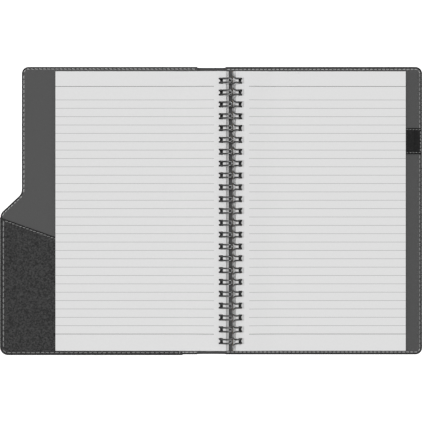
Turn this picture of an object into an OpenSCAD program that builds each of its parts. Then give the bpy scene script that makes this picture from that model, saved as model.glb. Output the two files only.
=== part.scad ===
// Open wire-bound notebook in a stitched folio cover, lying flat on its outer skin.
// Sizes are in millimetres. Y runs along the binding and Z points up from the table.
// The origin lies on the table, straight below the middle of the binding's axis.

/* [Sheets] */
// Distance from the binding's axis to the outer edge of the sheets
page_reach = 125.7; // [95:0.1:180]
// Height of the sheets, measured along the binding
page_h = 200.6; // [150:0.1:280]
// Thickness of the stack of sheets on each side
stack_t = 4.6; // [2:0.1:5.2]
// Thickness of the backing card under the right stack
card_t = 1; // [0.4:0.1:1.4]
// How far the backing card stops short of the sheets' outer edge
card_inset = 3.2; // [2.5:0.1:12]
// Width over which each stack rises from the cover to the binding
rise_w = 24; // [12:1:40]

/* [Punched holes] */
// Length of a hole, measured away from the sheet's edge
hole_l = 4; // [3.2:0.1:4.6]
// Width of a hole along the binding
hole_w = 4.4; // [4.4:0.1:5.2]
// Distance from the wire's centre line to the sheets' inner edge
edge_margin = 4; // [3.4:0.1:4.4]

/* [Binding wire] */
// Diameter of the wire
wire_d = 0.9; // [0.7:0.05:1]
// Radius of the loops, to the wire's centre line
loop_r = 7.6; // [7.2:0.1:10]
// Distance from loop to loop along the binding
loop_pitch = 8.467; // [7.8:0.001:9.5]
// Distance between the two wires of one loop, centre to centre
pair_gap = 2.8; // [2.4:0.1:2.9]
// Smallest distance from the sheets' end to the middle of the last loop
end_space = 6; // [5:0.1:12]
// How far the closed tips stay above the bends that join the loops
tip_lift = 1.1; // [1.05:0.05:2]

/* [Cover panels] */
// Thickness of the board with its outer skin
board_t = 2.2; // [1.6:0.1:3]
// Thickness of the lining
lining_t = 0.5; // [0.3:0.05:0.8]
// Thickness of the outer skin where it has no board behind it
skin_t = 1; // [0.6:0.1:1.3]
// Width of the turned edge that shows round the lining
rim_w = 0.7; // [0.5:0.1:1.5]
// How far the cover stands past the sheets at the top and the bottom
cover_over = 2.5; // [1.5:0.1:6]
// How far the back panel stands past the sheets' outer edge
back_over = 11.4; // [6:0.1:20]
// How far the front panel stands past the sheets' outer edge above its step
front_over = 23.5; // [12:0.1:30]
// How much further the front panel reaches below its step
tab_over = 15.7; // [8:0.1:20]
// Height of the step's upper corner above the middle
step_top = 12.8; // [0:0.1:30]
// Height of the sloping edge of the step
step_h = 14.9; // [10:0.1:20]
// Corner radius of the cover
corner_r = 4.2; // [2:0.1:8]
// Radius of both bends of the step
step_r = 9; // [4:0.5:10]
// Distance from the binding's axis to the inner edge of the back board
board_back = 3.7; // [2:0.1:5]
// How far the outline draws in at the spine, where no board holds it
spine_dip = 0.65; // [0.2:0.05:1.2]

/* [Pocket] */
// Thickness of the pocket's sheet
pocket_t = 0.8; // [0.5:0.1:1.2]
// Depth of the space behind the pocket's sheet
pocket_gap = 0.3; // [0.2:0.05:0.5]
// Width of the sewn hem round the pocket
pocket_hem = 3; // [2:0.1:6]
// Height of the pocket's mouth at the tab's edge, below the middle
mouth_drop = 5; // [0:0.1:20]
// Slope of the pocket's mouth in degrees
mouth_slope = 19.5; // [5:0.5:25]
// Distance from the binding's axis to the pocket's inner end
pocket_end = 34.7; // [30:0.1:60]

/* [Pen loop] */
// Width of the band
band_w = 18.7; // [10:0.1:30]
// Thickness of the band
band_t = 0.8; // [0.4:0.05:0.9]
// Height of the band's middle above the middle of the cover
band_y = 50; // [20:0.5:60]
// How far the empty band arches off the lining
band_rise = 0.8; // [0.3:0.1:0.9]
// Length of each sewn end of the band
band_seat = 2.6; // [1.5:0.1:3]

/* [Fit] */
// Clearance between pieces that move past each other
clear = 0.3; // [0.3:0.05:0.5]

/* [Hidden] */

// Heights, from the table upwards
panel_t = board_t + lining_t;
strip_t = skin_t + lining_t;
loop_out = loop_r + wire_d / 2;
axis_z = panel_t + clear + loop_out;
pocket_top = panel_t + pocket_gap + pocket_t;
left_rest = pocket_top + clear;
// Half the clearance below the axis, so that the turned stack lies clear of the other
stack_top = axis_z - clear / 2;

// The two folds of the spine lie level with the panels' inner faces
fold_z = panel_t;
fold_back = -(loop_out + clear + 0.05 - (fold_z - strip_t));
spine_w = 2 * (axis_z - fold_z);
fold_front = fold_back - spine_w;
fold_gap = clear / 2;

// Edges of the panels
half_h = page_h / 2 + cover_over;
back_x = page_reach + back_over;
front_x = -(page_reach + front_over);
tab_x = front_x - tab_over;
front_in = fold_front - fold_gap;
back_in = -board_back;

// The row of loops, centred along the binding
loops = floor((page_h - 2 * end_space) / loop_pitch) + 1;
first_y = -(loops - 1) * loop_pitch / 2;
bend_r = (loop_pitch - pair_gap) / 2;

// Number of straight pieces in a rounded corner, a rise and a dip
corner_n = 8;
rise_n = 10;
dip_n = 12;
$fn = 48;
wire_fn = 16;

function unit(v) = v / norm(v);
function cross2(a, b) = a.x * b.y - a.y * b.x;
function left_of(v) = [-v.y, v.x];
function turned(v, a) = [v.x * cos(a) - v.y * sin(a), v.x * sin(a) + v.y * cos(a)];
function smooth(u) = u * u * (3 - 2 * u);
function clamp01(u) = min(1, max(0, u));

// Point i of a closed outline, with the numbers running round past either end
function at(p, i) = p[(i + len(p)) % len(p)];
function edge(p, i) = unit(at(p, i + 1) - at(p, i));

// The outline moved inwards by d[i] along the edge that starts at point i
function inset(p, d) = [
    for (i = [0 : len(p) - 1])
        let (e1 = edge(p, i - 1), e2 = edge(p, i))
        p[i] + (at(d, i - 1) * e2 - d[i] * e1) / cross2(e1, e2)
];

// The points of one corner of radius r, which is a single point where r is 0
function corner(p, i, r) =
    r <= 0 ? [p[i]] :
    let (e1 = edge(p, i - 1), e2 = edge(p, i))
    let (turn = atan2(cross2(e1, e2), e1 * e2))
    let (side = sign(turn) * left_of(e1))
    let (middle = p[i] - e1 * r * tan(abs(turn) / 2) + side * r)
    [for (k = [0 : corner_n]) middle - turned(side, turn * k / corner_n) * r];

function rounded(p, radii) = [for (i = [0 : len(p) - 1]) each corner(p, i, radii[i])];

// Front panel: the bottom corner of the tab first, then round to the left
function front_points() = [
    [tab_x, -half_h], [front_in, -half_h], [front_in, half_h],
    [front_x, half_h], [front_x, step_top], [tab_x, step_top - step_h]
];
function front_outline(d) = rounded(
    inset(front_points(), [d, 0, d, d, d, d]),
    [corner_r - d, 0, 0, corner_r - d, step_r + d, step_r - d]
);

// Back panel, without the strip that reaches towards the spine
function back_points() = [
    [back_in, -half_h], [back_x, -half_h], [back_x, half_h], [back_in, half_h]
];
function back_outline(d) = rounded(
    inset(back_points(), [d, d, d, 0]),
    [0, corner_r - d, corner_r - d, 0]
);

// Half the height of the boardless strip at x, less d
function strip_half(x, d) =
    let (u = (2 * x - fold_front - back_in) / (back_in - fold_front))
    half_h - d - spine_dip * (1 - pow(min(1, abs(u)), 4));

function strip_outline(x0, x1, d) = concat(
    [for (k = [0 : dip_n]) let (x = x0 + (x1 - x0) * k / dip_n) [x, -strip_half(x, d)]],
    [for (k = [0 : dip_n]) let (x = x1 - (x1 - x0) * k / dip_n) [x, strip_half(x, d)]]
);

// Pocket, inside the turned edge, with the sloping mouth at its top
function mouth_at(x) = -mouth_drop - (x - tab_x) * tan(mouth_slope);
function pocket_points() = [
    [tab_x + rim_w, -half_h + rim_w], [-pocket_end, -half_h + rim_w],
    [-pocket_end, mouth_at(-pocket_end)], [tab_x + rim_w, mouth_at(tab_x + rim_w)]
];

// Underside of a stack that rests at z0 and passes the loops at z1
function rise_at(x, z0, z1) =
    z1 + (z0 - z1) * smooth(clamp01((x - loop_r - hole_l / 2) / rise_w));
function rise_xs(reach) = concat(
    [0],
    [for (k = [0 : rise_n]) loop_r + hole_l / 2 + rise_w * k / rise_n],
    [reach]
);
function stack_profile(reach, z0, z1, t) = concat(
    [for (x = rise_xs(reach)) [x, rise_at(x, z0, z1)]],
    [for (k = [len(rise_xs(reach)) - 1 : -1 : 0])
        let (x = rise_xs(reach)[k]) [x, rise_at(x, z0, z1) + t]]
);

// A flat plate of the given outline from z0 up to z1
module plate(points, z0, z1) {
    translate([0, 0, z0])
        linear_extrude(height = z1 - z0)
            polygon(points);
}

// A board in its skin, with the turned edge standing round the sunk lining
module tray(outer, inner) {
    difference() {
        plate(outer, 0, panel_t);
        plate(inner, board_t, panel_t + 1);
    }
}

// One square hole for each loop, bent to the path that the wire takes
module loop_holes() {
    for (i = [0 : loops - 1])
        translate([0, first_y + i * loop_pitch, axis_z])
            rotate([90, 0, 0])
                rotate_extrude()
                    translate([loop_r - hole_l / 2, -hole_w / 2])
                        square([hole_l, hole_w]);
}

// Sheets punched along their inner edge, on the side of +X
module punched_stack(reach, z0, z1, t) {
    difference() {
        translate([0, page_h / 2, 0])
            rotate([90, 0, 0])
                linear_extrude(height = page_h)
                    polygon(stack_profile(reach, z0, z1, t));
        translate([-edge_margin, 0, axis_z])
            rotate([90, 0, 0])
                cylinder(h = page_h + 2, r = loop_r, center = true);
        loop_holes();
    }
}

module back_cover() {
    color([0.16, 0.16, 0.165])
        union() {
            tray(back_outline(0), back_outline(rim_w));
            plate(strip_outline(fold_back + fold_gap, back_in, 0), 0, skin_t);
        }
}

// The lining runs over the board and down its inner edge onto the strip
module back_lining() {
    color([0.33, 0.33, 0.335])
        union() {
            plate(back_outline(rim_w), board_t, panel_t);
            plate(strip_outline(fold_back + fold_gap, back_in, rim_w), skin_t, strip_t);
            plate(strip_outline(back_in - lining_t, back_in, rim_w), skin_t, panel_t);
        }
}

module spine() {
    color([0.16, 0.16, 0.165])
        plate(strip_outline(fold_front + fold_gap, fold_back - fold_gap, 0), 0, skin_t);
}

module spine_lining() {
    color([0.33, 0.33, 0.335])
        plate(strip_outline(fold_front + fold_gap, fold_back - fold_gap, rim_w), skin_t, strip_t);
}

module front_cover() {
    color([0.16, 0.16, 0.165])
        tray(front_outline(0), front_outline(rim_w));
}

module front_lining() {
    color([0.33, 0.33, 0.335])
        plate(front_outline(rim_w), board_t, panel_t);
}

// The pocket is sewn down at its side, bottom and inner end, and open along its mouth
module pocket() {
    outer_r = [corner_r - rim_w, 0, 0, 0];
    open = inset(pocket_points(), [pocket_hem, pocket_hem, -pocket_hem, pocket_hem]);
    color([0.23, 0.23, 0.235])
        difference() {
            plate(rounded(pocket_points(), outer_r), panel_t, pocket_top);
            plate(open, panel_t - 1, panel_t + pocket_gap);
        }
}

// An empty band, sewn under the sheets' edge and over the panel's turned edge
module pen_loop() {
    x0 = page_reach - band_seat;
    x1 = page_reach;
    x2 = back_x - band_seat;
    arch = [for (k = [0 : rise_n])
        [x1 + (x2 - x1) * k / rise_n, panel_t + band_rise * pow(sin(180 * k / rise_n), 2)]];
    under = concat([[x0, panel_t]], arch, [[back_x, panel_t]]);
    over = [for (k = [len(under) - 1 : -1 : 0]) under[k] + [0, band_t]];
    color([0.13, 0.13, 0.13])
        translate([0, band_y + band_w / 2, 0])
            rotate([90, 0, 0])
                linear_extrude(height = band_w)
                    polygon(concat(under, over));
}

module back_card() {
    color([0.45, 0.42, 0.38])
        punched_stack(page_reach - card_inset, panel_t, stack_top - stack_t - card_t, card_t);
}

module right_pages() {
    color([0.87, 0.87, 0.87])
        punched_stack(page_reach, panel_t + card_t, stack_top - stack_t, stack_t);
}

module left_pages() {
    color([0.87, 0.87, 0.87])
        mirror([1, 0, 0])
            punched_stack(page_reach, left_rest, stack_top - stack_t, stack_t);
}

// Part of a bent wire of radius r about Z, from angle 0 to a
module bent_wire(r, a) {
    rotate_extrude(angle = a)
        translate([r, 0])
            circle(d = wire_d, $fn = wire_fn);
}

// The two wires of one loop, which tighten on the last quarter and end in a closed tip
module loop_pair() {
    for (side = [-1, 1])
        translate([0, side * pair_gap / 2, 0])
            rotate([90, 0, 0]) {
                rotate([0, 0, -90])
                    bent_wire(loop_r, 270);
                translate([-tip_lift, 0, 0])
                    rotate([0, 0, 180])
                        bent_wire(loop_r - tip_lift, 90);
            }
    translate([-tip_lift, 0, tip_lift - loop_r])
        rotate([0, 0, -90])
            bent_wire(pair_gap / 2, 180);
}

// One wire: every loop is joined to the next by a bend that lies flat on the lining
module binding_wire() {
    color([0.1, 0.1, 0.1])
        union() {
            for (i = [0 : loops - 1])
                translate([0, first_y + i * loop_pitch, axis_z])
                    loop_pair();
            for (i = [0 : loops - 2])
                translate([0, first_y + (i + 0.5) * loop_pitch, axis_z - loop_r])
                    rotate([0, 0, 90])
                        bent_wire(bend_r, 180);
            translate([0, first_y - loop_pitch / 2, axis_z - loop_r])
                rotate([0, 0, 90])
                    bent_wire(bend_r, 90);
            translate([0, -first_y + loop_pitch / 2, axis_z - loop_r])
                rotate([0, 0, 180])
                    bent_wire(bend_r, 90);
        }
}

back_cover();
back_lining();
pen_loop();
spine();
spine_lining();
front_cover();
front_lining();
pocket();
back_card();
right_pages();
left_pages();
binding_wire();
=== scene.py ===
import math
import random

import bmesh
import bpy
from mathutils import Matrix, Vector


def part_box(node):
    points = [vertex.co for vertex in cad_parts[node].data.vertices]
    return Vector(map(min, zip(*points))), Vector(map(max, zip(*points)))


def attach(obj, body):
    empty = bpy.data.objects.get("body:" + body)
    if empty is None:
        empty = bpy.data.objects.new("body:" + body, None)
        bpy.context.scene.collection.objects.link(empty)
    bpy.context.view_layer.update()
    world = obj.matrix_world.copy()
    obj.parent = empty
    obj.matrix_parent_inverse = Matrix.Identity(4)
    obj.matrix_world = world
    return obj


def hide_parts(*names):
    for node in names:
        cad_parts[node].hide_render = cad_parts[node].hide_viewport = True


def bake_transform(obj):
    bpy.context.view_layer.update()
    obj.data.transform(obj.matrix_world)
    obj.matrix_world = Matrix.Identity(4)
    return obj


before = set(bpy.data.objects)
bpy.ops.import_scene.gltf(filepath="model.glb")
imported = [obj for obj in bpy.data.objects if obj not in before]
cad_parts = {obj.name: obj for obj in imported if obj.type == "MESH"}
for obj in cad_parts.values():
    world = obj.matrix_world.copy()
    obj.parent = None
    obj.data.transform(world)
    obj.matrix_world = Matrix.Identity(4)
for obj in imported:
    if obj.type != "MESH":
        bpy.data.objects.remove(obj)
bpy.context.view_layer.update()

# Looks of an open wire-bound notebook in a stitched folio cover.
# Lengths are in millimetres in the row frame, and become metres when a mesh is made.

MM = 0.001


def box_mm(node):
    """The two corners of a node's box, in millimetres."""
    low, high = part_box(node)
    return low / MM, high / MM


front_low, front_high = box_mm("front_cover")
back_low, back_high = box_mm("back_cover")
right_low, right_high = box_mm("right_pages")
left_low, _ = box_mm("left_pages")
wire_low, wire_high = box_mm("binding_wire")
spine_low, spine_high = box_mm("spine")
_, spine_lining_high = box_mm("spine_lining")
_, pocket_high = box_mm("pocket")
band_low, band_high = box_mm("pen_loop")

# Cover, whose turned skin stands a little outside the solids
skin_out = 0.25
half_h = front_high.y + skin_out
tab_x = front_low.x - skin_out
front_in = front_high.x
back_x = back_high.x + skin_out
panel_t = front_high.z
skin_t = spine_high.z
strip_t = spine_lining_high.z
tab_w = 15.3
front_x = tab_x + tab_w
back_in = -3.7
step_top = 12.16
step_h = 14.29
corner_r = 4.5
low_corner_r = 5.2
inner_step_r = 7.3
outer_step_r = 5.2
rim_w = 0.7
board_t = 2.2
spine_dip = 0.1
cover_shift = 0.2
fold_front = (front_in + spine_low.x) / 2
fold_back = (back_low.x + spine_high.x) / 2
spine_mid = (fold_front + fold_back) / 2

# Pocket, and the band with what it stands past the solid on its two long sides
pocket_end = -pocket_high.x
pocket_top = pocket_high.z
pocket_gap = 0.3
pocket_hem = 3.0
mouth_drop = 5.0
mouth_slope = math.radians(19.5)
band_t = 0.8
band_rise = 0.8
band_seat = 2.6
band_groove = 0.09
band_low_out = -0.17
band_high_out = 0.15

# Sheets and wire, with 1 for the right stack and -1 for the left one
page_trim = 0.27
page_half = right_high.y - page_trim
page_drop = 0.05
page_reach = {1: right_high.x - 0.38, -1: right_high.x - 0.15}
stack_t = 4.6
stack_high = right_high.z - stack_t
rise_w = 24.0
hole_l = 4.0
hole_w = 4.4
edge_margin = {1: 4.0, -1: 4.25}
wire_r = 0.53
solid_wire_r = 0.45
axis_z = (wire_low.z + wire_high.z) / 2
loop_r = (wire_high.z - wire_low.z) / 2 - solid_wire_r
loop_pitch = 8.467
loops = 23
first_y = -(loops - 1) * loop_pitch / 2
wire_shift = -0.35

# Steps along each rounded corner
corner_n = 8


# Plane geometry

def unit(v):
    length = math.hypot(v[0], v[1])
    return (v[0] / length, v[1] / length)


def rotated(v, a):
    return (v[0] * math.cos(a) - v[1] * math.sin(a), v[0] * math.sin(a) + v[1] * math.cos(a))


def edge(points, i):
    """The direction of the edge that starts at point i."""
    a = points[i % len(points)]
    b = points[(i + 1) % len(points)]
    return unit((b[0] - a[0], b[1] - a[1]))


def cross2(a, b):
    return a[0] * b[1] - a[1] * b[0]


def inset(points, distances):
    """The outline moved inwards by distances[i] along the edge that starts at point i."""
    moved = []
    for i, point in enumerate(points):
        e1, e2 = edge(points, i - 1), edge(points, i)
        turn = cross2(e1, e2)
        d1, d2 = distances[i - 1], distances[i]
        moved.append(tuple(point[k] + (d1 * e2[k] - d2 * e1[k]) / turn for k in (0, 1)))
    return moved


def rounded(points, radii):
    """The outline with an arc of radii[i] in the place of point i."""
    made = []
    for i, point in enumerate(points):
        if radii[i] <= 0:
            made.append(point)
            continue
        e1, e2 = edge(points, i - 1), edge(points, i)
        turn = math.atan2(cross2(e1, e2), e1[0] * e2[0] + e1[1] * e2[1])
        way = math.copysign(1, turn)
        side = (-e1[1] * way, e1[0] * way)
        back = radii[i] * math.tan(abs(turn) / 2)
        middle = tuple(point[k] - e1[k] * back + side[k] * radii[i] for k in (0, 1))
        for k in range(corner_n + 1):
            x, y = rotated(side, turn * k / corner_n)
            made.append((middle[0] - x * radii[i], middle[1] - y * radii[i]))
    return made


def smooth(u):
    """A soft step from 0 to 1."""
    u = min(1.0, max(0.0, u))
    return u * u * (3 - 2 * u)


def shifted(points):
    """The cover lies a little higher on the sheets than their middle."""
    return [(x, y + cover_shift) for x, y in points]


def front_outline(d):
    """The left panel's outline, d inside its edge."""
    points = [
        (tab_x, -half_h), (front_in, -half_h), (front_in, half_h),
        (front_x, half_h), (front_x, step_top), (tab_x, step_top - step_h),
    ]
    radii = [low_corner_r - d, 0, 0, corner_r - d, inner_step_r + d, outer_step_r - d]
    return shifted(rounded(inset(points, [d, 0, d, d, d, d]), radii))


def back_outline(d):
    """The right panel's outline, d inside its edge."""
    points = [(back_in, -half_h), (back_x, -half_h), (back_x, half_h), (back_in, half_h)]
    return shifted(rounded(inset(points, [d, d, d, 0]), [0, corner_r - d, corner_r - d, 0]))


def mouth_at(x):
    """The Y of the pocket's mouth at x."""
    return -mouth_drop - (x - tab_x) * math.tan(mouth_slope)


def pocket_points():
    low_y = -half_h + rim_w
    low_x = tab_x + rim_w
    return [
        (low_x, low_y), (-pocket_end, low_y),
        (-pocket_end, mouth_at(-pocket_end)), (low_x, mouth_at(low_x)),
    ]


def pocket_outline(d):
    least_r = 0.2
    radii = [max(least_r, low_corner_r - rim_w - d), 0, 0, 0]
    return rounded(inset(pocket_points(), [d, d, d, d]), radii)


def strip_half(x):
    """Half the height of the boardless strip at x."""
    u = (2 * x - fold_front - back_in) / (back_in - fold_front)
    return half_h - spine_dip * (1 - min(1, abs(u)) ** 4)


# Meshes

SHARP = math.radians(38)


def make(name, vertices, faces, material, body=None, slot=None):
    """A piece from vertices in millimetres, smooth apart from its sharp edges."""
    mesh = bpy.data.meshes.new(name)
    mesh.from_pydata([tuple(c * MM for c in v) for v in vertices], [], faces)
    shape = bmesh.new()
    shape.from_mesh(mesh)
    bmesh.ops.remove_doubles(shape, verts=shape.verts, dist=1e-7)
    bmesh.ops.recalc_face_normals(shape, faces=shape.faces)
    for face in shape.faces:
        face.smooth = True
    for line in shape.edges:
        if len(line.link_faces) == 2 and line.calc_face_angle(0) > SHARP:
            line.smooth = False
    shape.to_mesh(mesh)
    shape.free()
    mesh.materials.append(material)
    piece = bpy.data.objects.new(name, mesh)
    bpy.context.scene.collection.objects.link(piece)
    if body:
        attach(piece, body)
    return piece


def loft(rings):
    """Vertices and faces of a closed form through rings of equal length, capped at both ends."""
    n = len(rings[0])
    vertices = [v for ring in rings for v in ring]
    faces = [list(range(n))]
    for r in range(len(rings) - 1):
        for i in range(n):
            j = (i + 1) % n
            faces.append([r * n + i, r * n + j, (r + 1) * n + j, (r + 1) * n + i])
    faces.append([(len(rings) - 1) * n + i for i in range(n)])
    return vertices, faces


def lofted(name, outline, profile, material, body, slot):
    """A plate whose edge follows profile, a list of (inset, height)."""
    rings = [[(x, y, z) for x, y in outline(d)] for d, z in profile]
    return make(name, *loft(rings), material, body, slot)


def swept(name, places, section, material, slot):
    """A strip through section(x) at each x in places, with no body yet."""
    return make(name, *loft([section(x) for x in places]), material, slot=slot)


def joined(forms):
    """Vertices and faces of several forms as one."""
    vertices, faces = [], []
    for form_vertices, form_faces in forms:
        start = len(vertices)
        vertices += form_vertices
        faces += [[start + f for f in face] for face in form_faces]
    return vertices, faces


def tube(points, radius, sides):
    """Vertices and faces of a round wire along points."""
    rings = []
    normal = None
    for i, point in enumerate(points):
        before, after = points[max(i - 1, 0)], points[min(i + 1, len(points) - 1)]
        heading = (after - before).normalized()
        if normal is None:
            normal = heading.orthogonal().normalized()
        normal = (normal - heading * normal.dot(heading)).normalized()
        other = heading.cross(normal)
        ring = []
        for k in range(sides):
            a = 2 * math.pi * k / sides
            ring.append(tuple(point + (normal * math.cos(a) + other * math.sin(a)) * radius))
        rings.append(ring)
    return loft(rings)


# Materials

def new_material(name, colour, roughness, **constants):
    """A material with its node tree and shader, whose sockets take the constants."""
    material = bpy.data.materials.new(name)
    material.use_nodes = True
    tree = material.node_tree
    shader = tree.nodes["Principled BSDF"]
    shader.inputs["Base Color"].default_value = (*colour, 1)
    shader.inputs["Roughness"].default_value = roughness
    for key, value in constants.items():
        shader.inputs[key.replace("_", " ")].default_value = value
    return material, tree, shader


def add(tree, kind, inputs=None, **settings):
    """A node whose inputs are linked where a socket is given, and set otherwise."""
    node = tree.nodes.new(kind)
    for key, value in settings.items():
        setattr(node, key, value)
    for key, value in (inputs or {}).items():
        if isinstance(value, bpy.types.NodeSocket):
            tree.links.new(value, node.inputs[key])
        else:
            node.inputs[key].default_value = value
    return node


def calc(tree, operation, a, b=0.0, c=0.0):
    return add(tree, "ShaderNodeMath", {0: a, 1: b, 2: c}, operation=operation).outputs[0]


def position(tree):
    """Object coordinates, and their X, Y and Z in metres."""
    coords = add(tree, "ShaderNodeTexCoord").outputs["Object"]
    parts = add(tree, "ShaderNodeSeparateXYZ", {0: coords}).outputs
    return coords, parts


def noise(tree, coords, size, detail=3.0, rough=0.55):
    """Noise whose features are about size millimetres wide."""
    inputs = {"Vector": coords, "Scale": 1 / (size * MM), "Detail": detail, "Roughness": rough}
    return add(tree, "ShaderNodeTexNoise", inputs).outputs["Fac"]


def ramp(tree, value, low, high, start=0.3, end=0.7):
    node = add(tree, "ShaderNodeValToRGB", {"Fac": value})
    node.color_ramp.elements[0].position = start
    node.color_ramp.elements[0].color = (*low, 1)
    node.color_ramp.elements[1].position = end
    node.color_ramp.elements[1].color = (*high, 1)
    return node.outputs["Color"]


def bump(tree, shader, height, depth, under=None):
    """Bump of depth millimetres on the shader, over the normal under."""
    inputs = {"Height": height, "Distance": depth * MM, "Strength": 1.0}
    if under:
        inputs["Normal"] = under
    normal = add(tree, "ShaderNodeBump", inputs).outputs["Normal"]
    tree.links.new(normal, shader.inputs["Normal"])
    return normal


def grey(value):
    return (value, value, value)


def facing_up(tree):
    """How far the surface faces along Z in the piece's own frame, from 0 to 1."""
    normal = add(tree, "ShaderNodeTexCoord").outputs["Normal"]
    parts = add(tree, "ShaderNodeSeparateXYZ", {0: normal}).outputs
    return calc(tree, "ABSOLUTE", parts["Z"])


def leather(name, dark, light, pebble, roughness, depth, shine=0.3):
    """Pressed grain: flat pebbles parted by creases, with slow changes of tone, and painted shade that
    makes the sides facing away from Z darker.
    """
    material, tree, shader = new_material(name, grey(light), roughness, Specular_IOR_Level=shine)
    coords, _ = position(tree)
    tone = noise(tree, coords, pebble * 1.6, 4.0, 0.65)
    colour = ramp(tree, tone, grey(dark), grey(light), 0.4, 0.62)
    # Painted shade: surfaces facing sideways in the piece's own frame are mixed towards half the dark tone.
    turned = {"Value": facing_up(tree), "From Min": 0.25, "From Max": 0.95}
    upward = add(tree, "ShaderNodeMapRange", turned).outputs["Result"]
    sides = {"Factor": upward, "A": (*grey(dark * 0.5), 1), "B": colour}
    shaded = add(tree, "ShaderNodeMix", sides, data_type="RGBA").outputs["Result"]
    tree.links.new(shaded, shader.inputs["Base Color"])
    cells = add(
        tree, "ShaderNodeTexVoronoi", {"Vector": coords, "Scale": 1 / (pebble * MM)},
        feature="DISTANCE_TO_EDGE",
    ).outputs["Distance"]
    crease = add(tree, "ShaderNodeMapRange", {"Value": cells, "From Max": 0.22}).outputs["Result"]
    grain = bump(tree, shader, crease, depth)
    bump(tree, shader, noise(tree, coords, 0.25), depth * 0.4, under=grain)
    rough = noise(tree, coords, pebble * 3)
    limits = {"Value": rough, "To Min": roughness - 0.08, "To Max": roughness + 0.1}
    wear = add(tree, "ShaderNodeMapRange", limits).outputs["Result"]
    tree.links.new(wear, shader.inputs["Roughness"])
    return material


def woven(name, dark, light, thread, roughness, depth):
    """Plain weave of threads that pass over and under each other along X and Y."""
    material, tree, shader = new_material(name, grey(light), roughness, Specular_IOR_Level=0.2)
    coords, (x, y, _) = position(tree)
    turn = math.pi / (thread * MM)
    over = calc(tree, "SINE", calc(tree, "MULTIPLY", x, turn))
    under = calc(tree, "SINE", calc(tree, "MULTIPLY", y, turn))
    weave = calc(tree, "MULTIPLY_ADD", calc(tree, "MULTIPLY", over, under), 0.5, 0.5)
    mottle = noise(tree, coords, thread * 2.8, 4.0, 0.6)
    shade = calc(tree, "MULTIPLY_ADD", weave, 0.35, calc(tree, "MULTIPLY", mottle, 0.65))
    tree.links.new(ramp(tree, shade, grey(dark), grey(light)), shader.inputs["Base Color"])
    cloth = bump(tree, shader, weave, depth)
    bump(tree, shader, noise(tree, coords, 0.2), depth * 0.4, under=cloth)
    return material


def sewing_thread(name, dark, light):
    """Thread of strands twisted every twist_w millimetres."""
    twist_w = 0.35
    material, tree, shader = new_material(name, grey(light), 0.6, Specular_IOR_Level=0.25)
    coords, (x, y, z) = position(tree)
    slant = calc(tree, "ADD", calc(tree, "ADD", x, y), z)
    twist = calc(tree, "SINE", calc(tree, "MULTIPLY", slant, 2 * math.pi / (twist_w * MM)))
    strand = calc(tree, "MULTIPLY_ADD", twist, 0.5, 0.5)
    mixed = calc(tree, "MULTIPLY_ADD", strand, 0.4, calc(tree, "MULTIPLY", noise(tree, coords, 1.5), 0.6))
    tree.links.new(ramp(tree, mixed, grey(dark), grey(light)), shader.inputs["Base Color"])
    bump(tree, shader, strand, 0.04)
    return material


# Ruling: a heavy header line, then line_count lines of which the last is heavy too.
# All of them end at line_end from the binding.
line_step = 5.987
header_y = 89.18
first_line = 79.5
line_count = 29
line_w = 0.28
heavy_w = 0.34
paper_tone = 0.74
line_tone = 0.36
heavy_tone = 0.13
line_end = {"left": 12.0, "right": 13.1}


def paper(name, side):
    """Ruled sheets: lines on their faces, and the cut edges of many sheets on their sides."""
    material, tree, shader = new_material(name, grey(paper_tone), 0.85, Specular_IOR_Level=0.15)
    coords, (x, y, _) = position(tree)
    flat = calc(tree, "GREATER_THAN", facing_up(tree), 0.6)
    reach = calc(tree, "GREATER_THAN", calc(tree, "ABSOLUTE", x), line_end[side] * MM)
    on_face = calc(tree, "MULTIPLY", flat, reach)

    steps = calc(tree, "DIVIDE", calc(tree, "SUBTRACT", first_line * MM, y), line_step * MM)
    off_line = calc(tree, "ABSOLUTE", calc(tree, "SUBTRACT", steps, calc(tree, "ROUND", steps)))
    near = calc(tree, "LESS_THAN", off_line, line_w / line_step / 2)
    after_first = calc(tree, "GREATER_THAN", steps, -0.5)
    before_last = calc(tree, "LESS_THAN", steps, line_count - 0.5)
    counted = calc(tree, "MULTIPLY", after_first, before_last)
    lines = calc(tree, "MULTIPLY", calc(tree, "MULTIPLY", near, counted), on_face)

    last_line = first_line - (line_count - 1) * line_step
    off_header = calc(tree, "ABSOLUTE", calc(tree, "SUBTRACT", y, header_y * MM))
    off_last = calc(tree, "ABSOLUTE", calc(tree, "SUBTRACT", y, last_line * MM))
    off_heavy = calc(tree, "MINIMUM", off_header, off_last)
    heavy = calc(tree, "MULTIPLY", calc(tree, "LESS_THAN", off_heavy, heavy_w * MM / 2), on_face)

    fibre = noise(tree, coords, 1.2, 5.0, 0.6)
    sheet = ramp(tree, fibre, grey(paper_tone * 0.985), grey(paper_tone * 1.015))
    layers = noise(
        tree,
        add(tree, "ShaderNodeMapping", {"Vector": coords, "Scale": (0.02, 0.02, 1)}).outputs[0],
        0.11, 2.0, 0.7,
    )
    cut = ramp(tree, layers, grey(0.68), grey(0.95), 0.36, 0.6)
    base = add(tree, "ShaderNodeMix", {"Factor": flat, "A": cut, "B": sheet}, data_type="RGBA")
    ruled = add(
        tree, "ShaderNodeMix",
        {"Factor": lines, "A": base.outputs["Result"], "B": (*grey(line_tone), 1)},
        data_type="RGBA",
    )
    headed = add(
        tree, "ShaderNodeMix",
        {"Factor": heavy, "A": ruled.outputs["Result"], "B": (*grey(heavy_tone), 1)},
        data_type="RGBA",
    )
    tree.links.new(headed.outputs["Result"], shader.inputs["Base Color"])
    grain = bump(tree, shader, fibre, 0.012)
    edge_only = calc(tree, "MULTIPLY", layers, calc(tree, "SUBTRACT", 1.0, flat))
    bump(tree, shader, edge_only, 0.12, under=grain)
    return material


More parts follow.
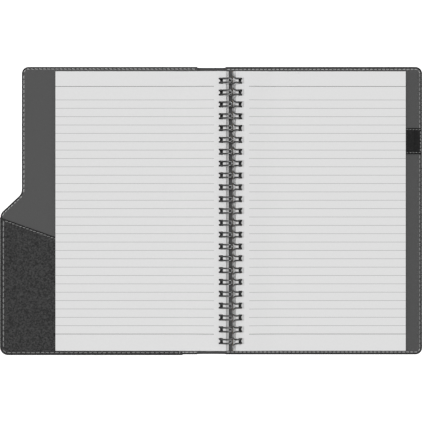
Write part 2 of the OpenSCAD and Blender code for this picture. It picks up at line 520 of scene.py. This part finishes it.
def coated_wire(name):
    """Black coating with a soft shine and faint drawing marks."""
    material, tree, shader = new_material(name, grey(0.16), 0.38, Metallic=1.0)
    shader.inputs["Specular Tint"].default_value = (0, 0, 0, 1)
    coords, _ = position(tree)
    marks = noise(tree, coords, 0.5, 3.0, 0.6)
    tree.links.new(ramp(tree, marks, grey(0.14), grey(0.18)), shader.inputs["Base Color"])
    limits = {"Value": marks, "To Min": 0.33, "To Max": 0.42}
    tree.links.new(add(tree, "ShaderNodeMapRange", limits).outputs["Result"], shader.inputs["Roughness"])
    bump(tree, shader, marks, 0.01)
    return material


def grey_card(name):
    """Pressed grey card with fibres."""
    material, tree, shader = new_material(name, (0.17, 0.145, 0.12), 0.9, Specular_IOR_Level=0.1)
    coords, _ = position(tree)
    fibre = noise(tree, coords, 0.6, 6.0, 0.7)
    colour = ramp(tree, fibre, (0.12, 0.1, 0.08), (0.22, 0.19, 0.155), 0.3, 0.72)
    tree.links.new(colour, shader.inputs["Base Color"])
    bump(tree, shader, fibre, 0.05)
    return material


skin_mat = leather("skin", 0.018, 0.034, 0.55, 0.6, 0.05, 0.03)
lining_mat = woven("lining", 0.077, 0.092, 0.25, 0.8, 0.01)
# Painted shade: the right panel's lining is the same fabric as the left's, made a little darker
shaded_back_lining_mat = woven("lining_back_shaded", 0.07, 0.084, 0.25, 0.8, 0.01)
# Painted shade: the same lining fabric made darker, for the shade in the gutter between the stacks
gutter_shade_lining_mat = woven("lining_spine_shaded", 0.06, 0.08, 0.25, 0.8, 0.01)
pocket_mat = leather("pocket_leather", 0.008, 0.052, 0.7, 0.6, 0.09)
# Near-black edge paint, which also stands as painted shade for the gap under the pocket's mouth
edge_paint_and_shade_mat = leather("edge_paint_and_shade", 0.004, 0.007, 0.4, 0.6, 0.02)
band_mat = woven("band", 0.002, 0.018, 0.5, 0.75, 0.08)
thread_mat = sewing_thread("thread", 0.3, 0.52)
# Painted shade: the same thread made darker, for the pocket, right side and band rows
shaded_thread_mat = sewing_thread("thread_shaded", 0.16, 0.3)
wire_mat = coated_wire("black_wire")
card_mat = grey_card("card")
left_paper = paper("paper_left", "left")
right_paper = paper("paper_right", "right")


# Cover panels, whose edges are lists of (inset, height)

skin_profile = [
    (1.4, 0.0), (0.7, 0.02), (0.25, 0.12), (-0.12, 0.36), (-0.29, 0.7), (-0.29, 2.15),
    (-0.18, 2.45), (0.08, 2.6), (0.34, panel_t), (0.56, 2.66), (0.7, 2.5), (0.74, board_t),
]
lining_profile = [
    (0.72, board_t), (0.72, 2.52), (0.85, 2.62), (1.05, 2.63), (1.4, 2.56), (1.8, 2.64),
    (2.4, panel_t), (3.2, panel_t),
]


def panel(name, outline, body, skin_node, lining_node, inner_mat):
    skin = lofted(name + "_skin", outline, skin_profile, skin_mat, body, "cover_skin")
    lining = lofted(name + "_lining", outline, lining_profile, inner_mat, body, "lining")
    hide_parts(skin_node)
    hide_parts(lining_node)


panel("front_panel", front_outline, "front", "front_cover", "front_lining", lining_mat)
panel("back_panel", back_outline, "back", "back_cover", "back_lining", shaded_back_lining_mat)


# Spine: a skin and a lining in two halves, which meet at the spine's middle

strip_lap = 0.05
lining_rise = 1.4
lining_drop = 0.02
press_in = 0.2
press_w = 5.0
strip_r = 0.3


def stations(start, end, step=0.45):
    """Even places from start to end, about step apart."""
    n = max(2, round(abs(end - start) / step))
    return [start + (end - start) * k / n for k in range(n + 1)]


def strip_section(low, top, drop):
    """Cross-section of a strip at x, with its long edges bevelled."""
    def section(x):
        half = strip_half(x) - drop
        high = top(x)
        r = min(strip_r, (high - low) * 0.45)
        side = [(half - r, low), (half - r * 0.3, low + r * 0.3), (half, low + r),
                (half, high - r), (half - r * 0.3, high - r * 0.3), (half - r, high)]
        return [(x, y, z) for y, z in side] + [(x, -y, z) for y, z in reversed(side)]
    return section


def skin_top(x):
    return skin_t


def lining_top(x):
    """The lining climbs to the board at both folds, and is pressed in where the closed wire lies."""
    at_back = smooth((x - (back_in - lining_rise)) / lining_rise)
    at_front = smooth((front_in + lining_rise - x) / lining_rise)
    pressed = press_in * (1 - smooth(abs(x - spine_mid) / press_w))
    return strip_t + (panel_t - strip_t - lining_drop) * max(at_back, at_front) - pressed


def spine_half(name, start, end):
    """The skin and the lining from start to end."""
    parts = []
    places = stations(start, end)
    for kind, low, top, drop, material, slot in (
        ("skin", 0.0, skin_top, 0.0, skin_mat, "cover_skin"),
        ("lining", skin_t, lining_top, rim_w, gutter_shade_lining_mat, "lining"),
    ):
        strip = swept(name + "_" + kind, places, strip_section(low, top, drop), material, slot)
        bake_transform(strip)
        parts.append(strip)
    return parts


back_half = spine_half(
    "spine_back", back_in + strip_lap, spine_mid,
)
spine_half(
    "spine_front", spine_mid, front_in - strip_lap,
)
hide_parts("spine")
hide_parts("spine_lining")


# Pocket

def applied_difference(piece, cutter):
    """Cuts the cutter out of the piece for good and deletes the cutter."""
    cut = piece.modifiers.new("cut", "BOOLEAN")
    cut.operation = "DIFFERENCE"
    cut.solver = "EXACT"
    cut.object = cutter
    bpy.context.view_layer.update()
    result = bpy.data.meshes.new_from_object(piece.evaluated_get(bpy.context.evaluated_depsgraph_get()))
    piece.modifiers.remove(cut)
    piece.data = result
    bpy.data.objects.remove(cutter)


pocket_profile = [
    (0.0, panel_t), (0.0, 3.4), (0.04, 3.58), (0.14, 3.66), (0.3, 3.7), (0.6, 3.6), (1.05, 3.7),
    (2.6, 3.77), (3.6, pocket_top), (6.0, pocket_top),
]
pocket = lofted("pocket_sheet", pocket_outline, pocket_profile, pocket_mat, None, "pocket_skin")
open_space = inset(pocket_points(), [pocket_hem, pocket_hem, -pocket_hem, pocket_hem])
space_rings = [[(x, y, z) for x, y in open_space] for z in (panel_t - 1, panel_t + pocket_gap)]
applied_difference(pocket, make("pocket_space", *loft(space_rings), pocket_mat))
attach(pocket, "front")
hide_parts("pocket")

# Cut edge along the pocket's mouth: edge paint, made near black so that it is also painted shade for the
# gap under the mouth
edge_w = 0.6
edge_low, edge_high = panel_t + pocket_gap, pocket_top - 0.02
edge_gap = 0.2
edge_step = 6.0


def mouth_edge():
    """A bar along the mouth, whose section is a list of (distance across the mouth, height)."""
    start = tab_x + rim_w
    end = -pocket_end
    across = (math.sin(mouth_slope), math.cos(mouth_slope))
    section = [
        (-edge_w, edge_low), (0.0, edge_low), (0.1, edge_low + 0.2), (0.1, edge_high - 0.2),
        (-0.1, edge_high), (-edge_w + 0.2, edge_high), (-edge_w, edge_high - 0.15),
    ]
    rings = []
    for x in stations(start + edge_gap, end - edge_gap, edge_step):
        y = mouth_at(x)
        rings.append([(x + across[0] * d, y + across[1] * d, z) for d, z in section])
    return loft(rings)


make("pocket_mouth_edge", *mouth_edge(), edge_paint_and_shade_mat, "front", "pocket_skin")


def turned_edge():
    """The pocket's skin turned over the panel's edge, on its left and lower sides."""
    past_mouth = 0.4
    section = [
        (-0.85, 0.9), (-0.85, 2.3), (-0.75, 2.75), (-0.45, 3.02), (-0.05, 3.12), (0.42, 3.06), (0.64, 2.92),
        (0.64, 2.76), (0.4, 2.74), (0.1, 2.68), (-0.1, 2.48), (-0.32, 2.15), (-0.32, 0.9), (-0.55, 0.8),
    ]
    lines = []
    for d, z in section:
        corner = front_outline(d)[:corner_n + 1]
        line = [(corner[0][0], mouth_at(tab_x) + past_mouth)] + corner + [(-pocket_end, corner[-1][1])]
        lines.append([(x, y, z) for x, y in line])
    return loft([list(ring) for ring in zip(*lines)])


make("pocket_turned_edge", *turned_edge(), pocket_mat, "front", "pocket_skin")


# Pen loop: a flat band that arches off the lining

def band_arch(x):
    """How high the band stands between its seats at x, from 0 to 1."""
    u = (x - band_low.x - band_seat) / (band_high.x - band_low.x - 2 * band_seat)
    return math.sin(math.pi * min(1.0, max(0.0, u))) ** 2


def pen_band():
    """The band, with a groove under the stitches along its two long sides."""
    low_y, high_y = band_low.y - band_low_out, band_high.y + band_high_out
    r = 0.22
    rings = []
    for x in stations(band_low.x, band_high.x - 0.02, 0.5):
        under = panel_t + 0.01 + (band_rise - 0.02) * band_arch(x)
        over = under + band_t
        half = [
            (low_y, under + r), (low_y, over - r), (low_y + r, over), (low_y + 0.75, over - 0.06),
            (low_y + 1.05, over - 0.12), (low_y + 1.45, over - 0.04), (low_y + 2.2, over),
        ]
        far = [(low_y + high_y - y, z) for y, z in reversed(half)]
        base = [(high_y - r, under), (low_y + r, under)]
        rings.append([(x, y, z) for y, z in half + far + base])
    return loft(rings)


band = make("pen_band", *pen_band(), band_mat, "back", "band")
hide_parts("pen_loop")


# Stacks of sheets

levels = 22
rise_n = 30
flat_step = 15.0
lean = {1: 0.2, -1: 0.3}
slip_out = 0.14
slip_along = 0.12
fan = random.Random(7)

# How far from the binding's axis the holes reach, in steps of
# (levels under the top, reach between the wires, reach where the wires have worn them)
hole_reach = {1: [(0, 9.45, 9.45), (3, 9.05, 9.05), (8, 7.6, 8.1)], -1: [(0, 7.7, 8.6)]}
tab_half = 0.7
worn_from = 0.95


def reach_of(side, down, worn):
    """The hole's reach at a number of levels under the top sheet."""
    steps = hole_reach[side]
    value = steps[-1][1 + worn]
    for (d0, *low), (d1, *high) in zip(steps, steps[1:]):
        if d0 <= down < d1:
            value = low[worn] + (high[worn] - low[worn]) * (down - d0) / (d1 - d0)
    return value


def stack(name, side, rest_z, material, body, node):
    """One punched stack on the side of +X or -X, whose sheets end in a slant at the binding."""
    slips = [0.0 if k in (0, levels) else -fan.random() * slip_out for k in range(levels + 1)]
    ends = [0.0 if k in (0, levels) else -fan.random() * slip_along for k in range(levels + 1)]
    rise_start = loop_r + hole_l / 2
    rising = [rise_start + rise_w * k / rise_n for k in range(1, rise_n + 1)]
    flat = stations(rising[-1], page_reach[side], flat_step)[1:]
    columns = ["edge", "hole_in", "hole_out"] + rising + flat
    row_offsets = [-hole_w / 2, -worn_from, -tab_half, tab_half, worn_from, hole_w / 2]
    per_hole = len(row_offsets)
    rows = [-page_half - page_drop]
    for i in range(loops):
        middle = first_y + i * loop_pitch
        rows += [middle + off for off in row_offsets]
    rows.append(page_half - page_drop)

    def under(x):
        """The height of the lowest sheet at x."""
        return stack_high + (rest_z - stack_high) * smooth((x - rise_start) / rise_w)

    def point(level, row, col):
        """A corner of the sheet at a level, at a hole or a place in columns."""
        share = level / levels
        x = columns[col]
        if isinstance(x, str):
            z = stack_high + stack_t * share
            off = z - axis_z
            if x == "hole_out":
                worn = (row - 1) % per_hole not in (2, 3)
                across = reach_of(side, levels - level, worn)
            else:
                radius = loop_r if x == "edge" else loop_r - hole_l / 2
                across = math.sqrt(radius * radius - off * off)
            if x == "edge":
                across -= edge_margin[side] + lean[side] * (1 - share)
        else:
            across = x + (slips[level] if col == len(columns) - 1 else 0)
            z = under(x) + stack_t * share
        y = rows[row]
        if row in (0, len(rows) - 1):
            y += math.copysign(ends[level], y)
        return (side * across, y, z)

    vertices, faces, known = [], [], {}

    def v(level, row, col):
        """The index of that corner, which is made when it is first asked for."""
        key = (level, row, col)
        if key not in known:
            known[key] = len(vertices)
            vertices.append(point(*key))
        return known[key]

    last_col, last_row = len(columns) - 1, len(rows) - 1
    for row in range(last_row):
        punched = row % per_hole != 0
        ends_here = {1: [row], per_hole - 1: [row + 1]}.get(row % per_hole, [])
        for col in range(last_col):
            if punched and col == 1:
                walls = [((row, 1), (row + 1, 1)), ((row, 2), (row + 1, 2))]
                walls += [((end, 1), (end, 2)) for end in ends_here]
                for k in range(levels):
                    for a, b in walls:
                        faces.append([v(k, *a), v(k, *b), v(k + 1, *b), v(k + 1, *a)])
                continue
            for level in (0, levels):
                faces.append([v(level, row, col), v(level, row, col + 1),
                              v(level, row + 1, col + 1), v(level, row + 1, col)])
        for col in (0, last_col):
            for k in range(levels):
                faces.append([v(k, row, col), v(k, row + 1, col),
                              v(k + 1, row + 1, col), v(k + 1, row, col)])
    for row in (0, last_row):
        for col in range(last_col):
            for k in range(levels):
                faces.append([v(k, row, col), v(k, row, col + 1),
                              v(k + 1, row, col + 1), v(k + 1, row, col)])
    piece = make(name, vertices, faces, material, body, "paper")
    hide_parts(node)


stack("sheets_right", 1, right_low.z, right_paper, "back", "right_pages")
stack("sheets_left", -1, left_low.z, left_paper, "turned_pages", "left_pages")
card_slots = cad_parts["back_card"].data.materials
card_slots.clear()
card_slots.append(card_mat)


# Binding wire: one wire, bent on a cylinder, with its seam on top as the photo shows it

pair_half = 1.38
pair_spread = 0.12
tip_at = -0.2
bend_at = 4.4
wire_step = 0.8
wire_sides = 10
end_turn = math.radians(115)
end_steps = 9
tip_steps = 10
bend_steps = 14


def on_cylinder(s, y):
    """The point at arc length s from the top of the loop, positive towards +X."""
    a = s / loop_r
    return Vector((wire_shift + loop_r * math.sin(a), y, axis_z + loop_r * math.cos(a)))


def spread(s):
    """Half the distance between a loop's two wires at arc length s."""
    return pair_half + pair_spread * math.sin(s / loop_r) ** 2


def wire_points():
    """The wire's middle line: down each loop, round its tip, back, and round the bend to the next."""
    tip_s = 2 * math.pi * loop_r + tip_at
    runs = stations(bend_at, tip_s, wire_step)
    tip_r = spread(tip_at)
    bend_r = loop_pitch / 2 - spread(bend_at)
    points = []
    low_y = first_y - loop_pitch / 2
    for k in range(end_steps, 0, -1):
        a = end_turn * k / end_steps
        points.append(on_cylinder(bend_at - bend_r * math.sin(a), low_y + bend_r * math.cos(a)))
    for i in range(loops):
        y = first_y + i * loop_pitch
        points += [on_cylinder(s, y - spread(s)) for s in runs]
        for k in range(1, tip_steps):
            a = math.pi * k / tip_steps
            points.append(on_cylinder(tip_s + tip_r * math.sin(a), y - tip_r * math.cos(a)))
        points += [on_cylinder(s, y + spread(s)) for s in reversed(runs)]
        high_y = y + loop_pitch / 2
        if i == loops - 1:
            turns = [end_turn * k / end_steps for k in range(1, end_steps + 1)]
        else:
            turns = [math.pi * k / bend_steps for k in range(1, bend_steps)]
        for a in turns:
            points.append(on_cylinder(bend_at - bend_r * math.sin(a), high_y - bend_r * math.cos(a)))
    return points


wire = make("twin_loop_wire", *tube(wire_points(), wire_r, wire_sides), wire_mat, "back", "wire")
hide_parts("binding_wire")


# Stitches

def along(path, s):
    """The point and direction at length s on a polyline."""
    for a, b in zip(path, path[1:]):
        length = math.hypot(b[0] - a[0], b[1] - a[1])
        if s <= length:
            way = unit((b[0] - a[0], b[1] - a[1]))
            return (a[0] + way[0] * s, a[1] + way[1] * s), way
        s -= length
    return None, None


def path_length(path):
    return sum(math.hypot(b[0] - a[0], b[1] - a[1]) for a, b in zip(path, path[1:]))


stitch_dip = 0.14
stitch_rise = 0.26
stitch_marks = 7
stitch_sides = 8


def stitch_row(path, pitch, dash, height, thread=0.3, slant=0.0):
    """Vertices and faces of the stitches along path, which dip into the surface at both ends."""
    forms = []
    length = path_length(path)
    count = int((length - dash) / pitch)
    spare = (length - dash - count * pitch) / 2
    for i in range(count + 1):
        rings = []
        middle, way = along(path, spare + i * pitch + dash / 2)
        way = rotated(way, math.radians(slant))
        across = (-way[1], way[0])
        for k in range(stitch_marks):
            t = k / (stitch_marks - 1)
            x, y = (middle[n] + way[n] * dash * (t - 0.5) for n in (0, 1))
            arch = math.sin(math.pi * (0.06 + 0.88 * t)) ** 0.5
            r = thread * (0.5 + 0.5 * arch)
            z = height(x, y) - stitch_dip + stitch_rise * arch
            ring = []
            for n in range(stitch_sides):
                a = 2 * math.pi * n / stitch_sides
                out = r * math.cos(a)
                ring.append((x + across[0] * out, y + across[1] * out, z + r * 0.8 * math.sin(a)))
            rings.append(ring)
        forms.append(loft(rings))
    return joined(forms)


def stitches(name, rows, body, material=thread_mat):
    """One piece from rows of (path, pitch, dash, height) and, where they differ, thread and slant."""
    return make(name, *joined(stitch_row(*row) for row in rows), material, body)


def at_height(z):
    return lambda x, y: z


border_z = at_height(2.58)
hem_z = at_height(3.63)
arc_n = corner_n + 1

# Left panel: along the top, down to the step, along the step, and from the pocket to the spine
front_seam = 1.2
front_line = front_outline(front_seam)
top_path = [(front_in - 1, half_h + cover_shift - front_seam)] + front_line[arc_n + 2:2 * arc_n + 2]
down_path = front_line[2 * arc_n + 1:3 * arc_n - 2]
step_path = front_line[3 * arc_n - 2:] + [(tab_x + front_seam, mouth_at(tab_x) + 0.8)]
tail_y = -101.56
tail_path = [(-pocket_end - 1.4, tail_y), (front_in + 0.2, tail_y)]
stitches(
    "front_border_stitches",
    [(top_path, 2.97, 2.15, border_z, 0.3, -9), (down_path, 3.4, 2.5, border_z, 0.32),
     (step_path, 2.96, 2.2, border_z), (tail_path, 3.0, 2.3, border_z, 0.34)],
    "front",
)

# Pocket: its outer side, its lower side with a tack at the end, its mouth and its inner side
pocket_seam = 0.6
mouth_seam = 1.1
pocket_line = pocket_outline(pocket_seam)
side_x = tab_x + 1.9
inner_x = -pocket_end - 1.9
tack_x = -36.67
side_path = [(side_x, mouth_at(side_x) - 1.2), (side_x, -half_h + 5.0)]
low_path = pocket_line[2:arc_n] + [(-pocket_end - 2.4, pocket_line[arc_n - 1][1])]
tack_path = [(tack_x, -half_h + 0.4), (tack_x, -half_h + 2.5)]
mouth_path = [(x, mouth_at(x) - mouth_seam) for x in (tab_x + 3.0, -pocket_end - 2.0)]
inner_path = [(inner_x, -half_h + 4.0), (inner_x, mouth_at(-pocket_end) - 3.0)]
stitches(
    "pocket_stitches",
    [(side_path, 3.95, 3.3, hem_z, 0.4), (low_path, 3.43, 2.55, hem_z), (tack_path, 3.0, 2.0, hem_z, 0.4),
     (mouth_path, 2.67, 1.9, hem_z, 0.3, 12), (inner_path, 2.67, 1.9, hem_z)],
    "front", shaded_thread_mat,
)

# Right panel: along the top and the bottom, and down the outer side above and below the band
back_seam = 1.5
back_line = back_outline(back_seam)
border_x = back_x - back_seam
border_top = back_line[-1][1]
border_low = back_line[0][1]
upper = back_line[1 + arc_n:1 + 2 * arc_n] + [(back_in + 1.0, border_top)]
lower = [(back_in + 1.0, border_low)] + back_line[1:arc_n]
outer_high = [(border_x, band_high.y + 0.4), back_line[1 + arc_n]]
outer_low = [back_line[arc_n], (border_x, band_low.y - 0.4)]
stitches("back_edge_stitches", [(upper, 2.93, 2.0, border_z), (lower, 2.93, 1.9, border_z)], "back")
stitches(
    "back_side_stitches",
    [(outer_high, 3.31, 2.3, border_z, 0.34), (outer_low, 3.31, 2.3, border_z, 0.34)],
    "back", shaded_thread_mat,
)

# Band: its two long sides and its outer end
band_cross = band_high.x - 0.75


def band_level(x, y):
    return panel_t + band_t + band_rise * band_arch(x) - band_groove


band_rows = [
    ([(band_low.x + 0.6, y), (band_high.x - 0.3, y)], 2.2, 1.45, band_level, 0.22)
    for y in (band_low.y + 1.33, band_high.y - 0.9)
]
band_rows.append(([(band_cross, band_low.y + 1.6), (band_cross, band_high.y - 1.6)], 2.5, 1.9, band_level))
stitches("band_stitches", band_rows, "back", shaded_thread_mat)


# Floor, light and camera

floor_size = 60.0
floor_tone = 0.9
floor_glow = 0.45
floor_mesh = bpy.data.meshes.new("floor")
corners = [(-1, -1), (1, -1), (1, 1), (-1, 1)]
floor_mesh.from_pydata([(x * floor_size, y * floor_size, 0) for x, y in corners], [], [[0, 1, 2, 3]])
floor = bpy.data.objects.new("floor", floor_mesh)
bpy.context.scene.collection.objects.link(floor)

floor_mat, floor_tree, floor_shader = new_material("floor", grey(floor_tone), 1.0, Specular_IOR_Level=0.0)
rays = add(floor_tree, "ShaderNodeLightPath").outputs
seen = calc(floor_tree, "MAXIMUM", rays["Is Camera Ray"], rays["Is Glossy Ray"])
seen = calc(floor_tree, "MAXIMUM", seen, rays["Is Transmission Ray"])
strength = calc(floor_tree, "MULTIPLY", seen, floor_glow)
glow = add(floor_tree, "ShaderNodeEmission", {"Color": (1, 1, 1, 1), "Strength": strength})
both = add(floor_tree, "ShaderNodeAddShader", {0: floor_shader.outputs[0], 1: glow.outputs[0]})
floor_out = next(n for n in floor_tree.nodes if n.type == "OUTPUT_MATERIAL")
floor_tree.links.new(both.outputs[0], floor_out.inputs["Surface"])
floor_mesh.materials.append(floor_mat)

world = bpy.context.scene.world or bpy.data.worlds.new("world")
bpy.context.scene.world = world
world.use_nodes = True
sky = next(n for n in world.node_tree.nodes if n.type == "BACKGROUND")
sky.inputs["Color"].default_value = (1, 1, 1, 1)

# The sky is brightest overhead, as under one wide soft box
low_sky = 0.06
overhead = 0.54
sky_way = add(world.node_tree, "ShaderNodeTexCoord").outputs["Generated"]
upward = add(world.node_tree, "ShaderNodeSeparateXYZ", {0: sky_way}).outputs["Z"]
lifted = calc(world.node_tree, "POWER", calc(world.node_tree, "MAXIMUM", upward, 0.0), 2.0)
sky_strength = calc(world.node_tree, "MULTIPLY_ADD", lifted, overhead, low_sky)
world.node_tree.links.new(sky_strength, sky.inputs["Strength"])

sun_light = bpy.data.lights.new("key", "SUN")
sun_light.energy = 2.1
sun_light.angle = math.radians(10)
sun = bpy.data.objects.new("key", sun_light)
sun.rotation_euler = (math.radians(-2), math.radians(-7), 0)
bpy.context.scene.collection.objects.link(sun)

# The photograph's size in pixels, its scale and middle, and the camera's height in metres
photo_px = 422
mm_per_px = 0.7188
centre_px = (230.7, 210.95)
camera_height = 1.6
view_w = photo_px * mm_per_px * MM
camera_data = bpy.data.cameras.new("camera")
camera_data.lens = camera_data.sensor_width * camera_height / view_w
camera = bpy.data.objects.new("camera", camera_data)
camera.location = (
    (photo_px / 2 - centre_px[0]) * mm_per_px * MM,
    (centre_px[1] - photo_px / 2) * mm_per_px * MM,
    camera_height + panel_t * MM,
)
bpy.context.scene.collection.objects.link(camera)
bpy.context.scene.camera = camera
bpy.context.scene.view_settings.view_transform = "Standard"
